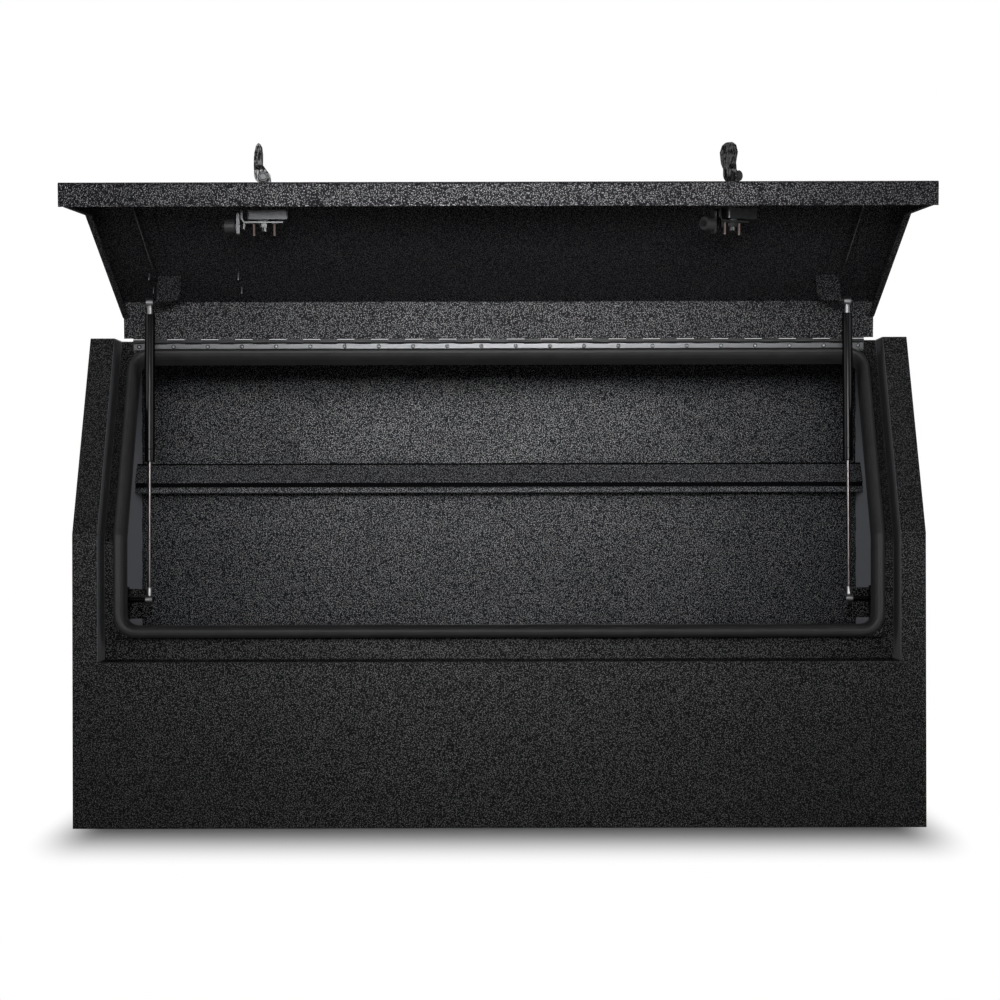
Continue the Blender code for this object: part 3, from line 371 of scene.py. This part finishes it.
def mottled(name, marks, detail, rough, *colours, metallic=0.0, specular=0.5):
    """A finish whose gloss, and its colour where two are given, wander with a fine mottle."""
    finish, tree, shader = new_finish(name)
    mask = node(
        tree, "ShaderNodeGroup", node_tree=fine_mottle, Marks_per_metre=marks, Detail=detail,
    ).outputs["Mottle"]
    if isinstance(rough, tuple):
        rough = ranged(tree, mask, To_Min=rough[0], To_Max=rough[1])
    colour = blend(tree, mask, *colours) if len(colours) == 2 else (*colours[0], 1)
    feed(tree, shader.inputs["Roughness"], rough)
    feed(tree, shader.inputs["Base Color"], colour)
    feed(tree, shader.inputs["Metallic"], metallic)
    feed(tree, shader.inputs["Specular IOR Level"], specular)
    return finish


seal_rubber = mottled(
    "Extruded seal rubber", 60.0, 4.0, (0.42, 0.62), (0.018, 0.018, 0.018), (0.042, 0.042, 0.043),
)
wear(("door_seal",), seal_rubber)

# Piano hinge
# Two strips of bright aluminium rolled round a steel pin in alternate knuckles, with the marks of
# the mill along them. A row of domed rivets holds each strip.


def streak_group():
    """Drawn streaks: a mask of marks pulled out along an axis."""
    tree, entry, coordinates = pattern_group(
        "Drawn streaks",
        (("Marks per metre", "Vector", (6.0, 900.0, 900.0)), ("Breaks", "Float", 0.5)),
        ("Streak",),
    )
    pulled = node(
        tree, "ShaderNodeMapping", Vector=coordinates["Object"], Scale=entry["Marks per metre"],
    ).outputs["Vector"]
    marks = node(
        tree, "ShaderNodeTexNoise", Vector=pulled, Scale=1.0, Detail=3.0, Roughness=entry["Breaks"],
    )
    node(tree, "NodeGroupOutput", Streak=marks.outputs["Fac"])
    return tree


drawn_streaks = streak_group()


hinge_metal, tree, shader = new_finish("Mill-finish hinge aluminium")
draw = node(tree, "ShaderNodeGroup", node_tree=drawn_streaks).outputs["Streak"]
tone = blend(tree, draw, (0.085, 0.087, 0.092), (0.16, 0.163, 0.166))
place = tree.nodes.new("ShaderNodeTexCoord").outputs["Object"]
height = node(tree, "ShaderNodeSeparateXYZ", Vector=place).outputs["Z"]
rolled = ranged(tree, height, From_Min=0.6985, From_Max=0.6995)
# Above the pin's axis the knuckles take a darker tone and are not metallic.
knuckle_darker = node(
    tree, "ShaderNodeMix", data_type="RGBA", Factor=rolled, A=tone, B=(0.030, 0.030, 0.032, 1),
)
feed(tree, shader.inputs["Base Color"], knuckle_darker.outputs["Result"])
feed(tree, shader.inputs["Metallic"], ranged(tree, rolled, To_Min=1.0, To_Max=0.0))
feed(tree, shader.inputs["Roughness"], ranged(tree, draw, To_Min=0.30, To_Max=0.50))
wear(("hinge_body_leaf", "hinge_pin"), hinge_metal)
rivet_metal = mottled(
    "Rivet aluminium", 300.0, 2.0, (0.25, 0.5), (0.72, 0.73, 0.74), metallic=0.3,
)


def rivet_tree():
    """Domed heads laid on the given points, all facing one way."""
    tree, entry = shape_tree(
        "Rivet row", (("Head radius", "Float"), ("Head height", "Float"), ("Facing", "Rotation")),
    )
    dome = node(tree, "GeometryNodeMeshUVSphere", Segments=16, Rings=8, Radius=1.0)
    squash = node(
        tree, "ShaderNodeCombineXYZ",
        X=entry["Head radius"], Y=entry["Head radius"], Z=entry["Head height"],
    )
    laid = node(
        tree, "GeometryNodeInstanceOnPoints",
        Points=entry["Geometry"], Instance=dome.outputs["Mesh"],
        Rotation=entry["Facing"], Scale=squash.outputs["Vector"],
    )
    close_tree(tree, laid, entry["Finish"])
    return tree


rivet_row = rivet_tree()


def rivets(name, points, facing, body, radius, height, finish):
    """Domed heads at the given places, all facing one way."""
    mesh = bpy.data.meshes.new(name)
    mesh.from_pydata([tuple(point) for point in points], [], [])
    inputs = {
        "Head radius": radius, "Head height": height, "Finish": finish,
        "Facing": Vector(facing).to_track_quat("Z", "Y").to_euler(),
    }
    made = shaped(name, mesh, rivet_row, inputs, body)
    made.data.shade_smooth()
    return made


rivet_count, rivet_pitch = 22, 0.05134
rivet_xs = [rivet_pitch * (k - (rivet_count - 1) / 2) for k in range(rivet_count)]
rivet_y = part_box("hinge_body_leaf")[0][1] + 0.0049
rivet_z = 0.6919
# Under each body-leaf rivet a flat dark disc is a painted shadow round its head.
ring_shade = coat_finish("Dark rivet rim", (0.010, 0.010, 0.011), (0.030, 0.030, 0.032), 0.2)
for name, radius, height, finish in (
    ("body_leaf_rivet_rims", 0.0031, 0.0004, ring_shade),
    ("body_leaf_rivets", 0.0017, 0.0012, rivet_metal),
):
    places = [(x, rivet_y, rivet_z) for x in rivet_xs]
    rivets(name, places, (0, -1, 0), "box", radius, height, finish)
axis_y, axis_z = -0.088, 0.699
axis_depth = 0.197
lid_turn = Matrix.Rotation(math.radians(-86.4), 4, "X")


def on_open_lid(x, depth, height):
    """A place drawn on the shut lid, moved to where the lid stands open."""
    arm = lid_turn @ Vector((0, depth - axis_depth, height - axis_z))
    return Vector((x, axis_y + arm.y, axis_z + arm.z))


def turned_on_lid(direction):
    """A direction drawn on the shut lid, turned with the lid as it stands open."""
    return (lid_turn @ Vector(direction)).normalized()


leaf_depth, leaf_height = 0.180, 0.7002
lid_row = rivets(
    "lid_leaf_rivets",
    [on_open_lid(x, leaf_depth, leaf_height) for x in rivet_xs],
    turned_on_lid((0, 0, 1)),
    "lid", 0.0024, 0.0011, rivet_metal,
)

# Lid
# A folded aluminium pan with the body's pebbled coat, painted lighter as painted light. Angles
# stiffen its slope, and the hinge's upper strip is coated with the lid down to its rolled edge.
lid_coat_painted_lighter = coat_finish(
    "Pebbled black powder coat, lid",
    (0.014, 0.014, 0.0165), (0.052, 0.051, 0.058), 0.4, shine=2.62,
)
wear(
    (
        "lid_skin", "left_lid_end_flange", "right_lid_end_flange", "left_lid_stiffener",
        "right_lid_stiffener", "left_lid_bracket", "right_lid_bracket", "hinge_lid_leaf",
    ),
    lid_coat_painted_lighter,
)
lid_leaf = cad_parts["hinge_lid_leaf"].data
lid_leaf.materials.append(hinge_metal)
bare_below = 0.7035
for face in lid_leaf.polygons:
    face.material_index = 1 if face.center.z < bare_below else 0

# Gas struts
# A gloss black tube crimped at its open end round a chromed rod, with zinc-plated end fittings on
# bright studs and a coated steel bracket at the foot.
tube_paint = mottled(
    "Gloss black strut paint", 40.0, 2.0, (0.10, 0.18), (0.004, 0.004, 0.0045), specular=0.055,
)
wear(("left_strut_tube", "right_strut_tube"), tube_paint)
bracket_coat = coat_finish("Foot bracket coat", (0.003, 0.003, 0.0035), (0.010, 0.010, 0.011), 0.4)
wear(("left_foot_bracket", "right_foot_bracket"), bracket_coat)
rod_chrome = mottled(
    "Hard chrome rod", 90.0, 2.0, (0.16, 0.30), (0.058, 0.053, 0.053), metallic=1.0,
)
wear(("left_strut_rod", "right_strut_rod", "left_foot_stud", "right_foot_stud"), rod_chrome)
# The strut fittings and slope pins take the zinc plate painted lighter than the locks', as painted
# light.
zinc_painted_lighter = mottled(
    "Fresh zinc plate", 300.0, 2.0, (0.30, 0.50), (0.34, 0.34, 0.345), metallic=1.0,
)
for hand in ("left", "right"):
    wear([f"{hand}_strut_tube_end", f"{hand}_strut_rod_end"], zinc_painted_lighter)

# Compression locks
# Plated die-cast plate, barrel, handle and cam block, with zinc-plated steel for the spindle,
# the cam arm, its nut, its axle and its stop bar, and a black nylon roller.
cast_plate = mottled(
    "Plated die casting", 220.0, 3.0, (0.30, 0.48), (0.026, 0.027, 0.029), (0.076, 0.077, 0.080),
    metallic=0.9,
)
# The locks' copy of the zinc plate is painted darker than the strut fittings', as painted shade.
zinc = mottled(
    "Bright zinc plate", 260.0, 2.0, (0.22, 0.42), (0.080, 0.081, 0.083), metallic=1.0,
)
nylon = mottled("Black nylon", 500.0, 2.0, (0.35, 0.55), (0.03, 0.03, 0.032))
worn_cast, tree, shader = new_finish("Worn die-cast handle")
streak = node(
    tree, "ShaderNodeGroup", node_tree=drawn_streaks,
    Marks_per_metre=(420.0, 420.0, 150.0), Breaks=0.6,
).outputs["Streak"]
worn = ranged(tree, streak, From_Min=0.42, From_Max=0.60)
tone = blend(tree, worn, (0.012, 0.012, 0.013), (0.24, 0.24, 0.245))
feed(tree, shader.inputs["Base Color"], tone)
feed(tree, shader.inputs["Roughness"], ranged(tree, streak, To_Min=0.34, To_Max=0.55))
feed(tree, shader.inputs["Metallic"], 0.9)
for hand in ("left", "right"):
    for finish, pieces in (
        (cast_plate, ("escutcheon", "bush", "cam_block")),
        (worn_cast, ("handle",)),
        (nylon, ("roller",)),
        (zinc, (
            "spindle", "cam_strip", "cam_nut", "axle", "stop_bar", "handle_pin", "key_plug",
        )),
    ):
        wear([f"{hand}_lock_{piece}" for piece in pieces], finish)


def turned(name, profile, base, along, body, finish):
    """A turned piece: its outline of radius and height spun round an axis from its base."""
    grid = bmesh.new()
    ring = [grid.verts.new((radius, 0, height)) for radius, height in profile]
    edges = [grid.edges.new(pair) for pair in zip(ring, ring[1:])]
    bmesh.ops.spin(
        grid, geom=ring + edges, axis=(0, 0, 1), cent=(0, 0, 0), angle=math.tau, steps=20,
        use_merge=True,
    )
    bmesh.ops.remove_doubles(grid, verts=grid.verts, dist=0.00001)
    bmesh.ops.recalc_face_normals(grid, faces=grid.faces)
    upright = Vector(along).to_track_quat("Z", "Y").to_matrix().to_4x4()
    stand = Matrix.Translation(Vector(base)) @ upright
    bmesh.ops.transform(grid, matrix=stand, verts=grid.verts)
    mesh = bpy.data.meshes.new(name)
    grid.to_mesh(mesh)
    grid.free()
    mesh.materials.append(finish)
    mesh.shade_smooth()
    mesh.set_sharp_from_angle(angle=math.radians(30))
    obj = bpy.data.objects.new(name, mesh)
    bpy.context.scene.collection.objects.link(obj)
    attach(obj, body)
    return obj


lock_x, lock_z = 0.30792, 0.326
locks = ((-1, "left", 0.0), (1, "right", math.radians(40)))


def lock_place(side, turn, x, up, out):
    """A place on a lock, from its own frame to where the lid stands open."""
    across = x * math.cos(turn) - up * math.sin(turn)
    rise = x * math.sin(turn) + up * math.cos(turn)
    return on_open_lid(side * lock_x + across, -out, lock_z + rise)


copper = mottled(
    "Passivated stud", 240.0, 2.0, 0.35, (0.72, 0.50, 0.42), (0.95, 0.84, 0.78), metallic=1.0,
)
stud_xs, stud_out = (-0.0137, 0.0132), -0.0466
core, crest, thread_pitch = 0.0014, 0.0017, 0.001
thread = [(0, 0)]
for k in range(15):
    thread += [(core, 0.0002 + k * thread_pitch), (crest, 0.0007 + k * thread_pitch)]
thread += [(core, 0.0157), (0, 0.0160)]
inward = -turned_on_lid((0, -1, 0))
for side, hand, turn in locks:
    for k, x in enumerate(stud_xs):
        start = lock_place(side, turn, x, 0.0, stud_out)
        turned(
            f"{hand}_cam_stud_{k + 1}", thread, start, inward, f"{hand}_lock_cam", copper,
        )

# Small parts of the locks, struts and lid
# Each handle's pin ends in a riveted head with a groove round it, the struts' tubes are crimped in
# two rings, four pins stand through the lid's slope, and the stiffeners' edges carry a painted
# highlight.
groove_dark = mottled("Grime in a groove", 400.0, 2.0, (0.6, 0.9), (0.012, 0.012, 0.013))
pin_up, pin_out = -0.0121, 0.0140
for side, hand, turn in locks:
    facing = turned_on_lid((math.sin(turn), 0, -math.cos(turn)))
    centre = lock_place(side, turn, 0.0, pin_up, pin_out)
    # Two of the head's rings take a dark, dull tone and two are zinc.
    for k, (radius, height, finish) in enumerate((
        (0.0070, 0.0003, groove_dark), (0.0060, 0.0006, zinc),
        (0.0048, 0.0008, groove_dark), (0.0038, 0.0012, zinc),
    )):
        disc = [
            (0, 0), (radius, 0), (radius, height - 0.0001), (radius - 0.0001, height), (0, height),
        ]
        turned(
            f"{hand}_pin_head_{k + 1}", disc, centre, facing, f"{hand}_lock_grip", finish,
        )
strut_x = 0.5098
crimp = [(0.0074, 0), (0.0079, 0.0004), (0.0079, 0.0014), (0.0074, 0.0018)]
for side, hand in ((-1, "left"), (1, "right")):
    top = Vector((side * strut_x, -0.165054, 0.750990))
    foot = Vector((side * strut_x, -0.177000, 0.317000))
    along = (foot - top).normalized()
    tube_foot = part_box(f"{hand}_strut_tube")[0].z
    for k, rise in enumerate((0.0005, 0.0180)):
        start = top + along * ((tube_foot + rise - top.z) / along.z)
        turned(
            f"{hand}_tube_crimp_{k + 1}", crimp, start, -along, f"{hand}_strut_cylinder",
            tube_paint,
        )
through_slope = Vector((0, -0.375, -0.927))
pin = [(0, 0), (0.0013, 0), (0.0013, 0.0105), (0.0009, 0.0112), (0, 0.0113)]
for k, place in enumerate((
    (-0.5080, -0.1795, 0.7921), (-0.5084, -0.1397, 0.7760),
    (-0.3784, -0.1795, 0.7921), (-0.3782, -0.1397, 0.7760),
)):
    turned(
        f"slope_pin_{k + 1}", pin, place, through_slope, "lid", zinc_painted_lighter,
    )
# A pale bead along each stiffener's lower edge is a painted highlight.
edge_highlight_coat = coat_finish("Worn edge", (0.10, 0.10, 0.10), (0.22, 0.22, 0.22), 0.2)
stiffener_x = 0.4965
edges = [
    [(side * stiffener_x, -0.3835, 0.8590), (side * stiffener_x, -0.2390, 0.8006)]
    for side in (-1, 1)
]
weld("stiffener_edges", edges, "lid", 0.0005, 0.0009, edge_highlight_coat)

# Floor, light and camera
# A white floor and backdrop, a narrow lamp in front and three soft ones, and the photograph's long
# lens at box height. The floor keeps the box's shadow near it and fades to plain white beyond.


def looked_at(tree):
    """1 on the rays that show the plain white, and 0 on the rest."""
    paths = tree.nodes.new("ShaderNodeLightPath").outputs
    return step(tree, "MAXIMUM", paths["Is Camera Ray"], paths["Is Transmission Ray"])


def reach(tree, operation, *terms):
    """One step of arithmetic on places."""
    return step(tree, operation, *terms, kind="ShaderNodeVectorMath", out="Vector")


half_floor = 6
floor_mesh = bpy.data.meshes.new("studio_floor")
floor_mesh.from_pydata(
    [(x * half_floor, y * half_floor, 0) for x, y in ((-1, -1), (1, -1), (1, 1), (-1, 1))],
    [], [(0, 1, 2, 3)],
)
floor = bpy.data.objects.new("studio_floor", floor_mesh)
bpy.context.scene.collection.objects.link(floor)
floor.location.z = -0.0005
floor_white, tree, shader = new_finish("White studio floor")
feed(tree, shader.inputs["Base Color"], (0.55, 0.55, 0.55, 1))
feed(tree, shader.inputs["Roughness"], 1.0)
feed(tree, shader.inputs["Specular IOR Level"], 0.0)
glow = node(tree, "ShaderNodeEmission", Strength=1.0)
shadow_core = (0.550, 0.275, 0)
fade_rates = (10.0, 3.2, 0)
place = tree.nodes.new("ShaderNodeTexCoord").outputs["Object"]
beyond = reach(tree, "SUBTRACT", reach(tree, "ABSOLUTE", place), shadow_core)
outside = reach(tree, "MAXIMUM", beyond, (0, 0, 0))
weighed = reach(tree, "MULTIPLY", outside, fade_rates)
spread = step(tree, "LENGTH", weighed, kind="ShaderNodeVectorMath")
far = ranged(tree, spread, interpolation_type="SMOOTHSTEP")
both = node(tree, "ShaderNodeMixShader", Fac=step(tree, "MULTIPLY", looked_at(tree), far))
feed(tree, both.inputs[1], shader.outputs["BSDF"])
feed(tree, both.inputs[2], glow.outputs["Emission"])
feed(tree, tree.nodes["Material Output"].inputs["Surface"], both.outputs["Shader"])
floor_mesh.materials.append(floor_white)

world = bpy.data.worlds.new("studio")
bpy.context.scene.world = world
world.use_nodes = True
tree = world.node_tree
tree.nodes.clear()
both = node(tree, "ShaderNodeMixShader", Fac=looked_at(tree))
for socket, strength in ((both.inputs[1], 0.20), (both.inputs[2], 1.0)):
    level = node(tree, "ShaderNodeBackground", Color=(1, 1, 1, 1), Strength=strength)
    feed(tree, socket, level.outputs["Background"])
node(tree, "ShaderNodeOutputWorld", Surface=both.outputs["Shader"])


def lamp(name, place, target, size, power, spread=180):
    """A rectangular lamp aimed at a point, with its beam's spread in degrees."""
    light = bpy.data.lights.new(name, "AREA")
    light.shape = "RECTANGLE"
    light.size, light.size_y = size
    light.energy = power
    light.spread = math.radians(spread)
    obj = bpy.data.objects.new(name, light)
    bpy.context.scene.collection.objects.link(obj)
    obj.location = place
    aim = Vector(target) - Vector(place)
    obj.rotation_euler = aim.to_track_quat("-Z", "Y").to_euler()
    return obj


lamp("front_lamp", (0.0, -3.3, 0.80), (0, 0, 0.80), (0.6, 0.4), 2.7, 42)
lamp("left_lamp", (-3.2, -2.0, 0.9), (0.3, 0.1, 0.45), (0.8, 0.8), 17)
lamp("right_lamp", (3.2, -2.0, 0.9), (-0.3, 0.1, 0.45), (0.8, 0.8), 17)
lamp("top_lamp", (0.0, 0.6, 3.6), (0, 0, 0.3), (2.4, 1.6), 30)

view_distance, eye_height = 2.943, 0.461
picture_width, focal_length = 1000, 2094
camera = bpy.data.cameras.new("photo_camera")
camera.sensor_width = 36.0
camera.lens = focal_length / picture_width * camera.sensor_width
camera.shift_x = 0.0011
camera.clip_end = 60
eye = bpy.data.objects.new("photo_camera", camera)
bpy.context.scene.collection.objects.link(eye)
eye.location = (0, front_y - view_distance, eye_height)
eye.rotation_euler = (math.radians(90), math.radians(0.125), 0)
bpy.context.scene.camera = eye
bpy.context.scene.view_settings.view_transform = "Standard"
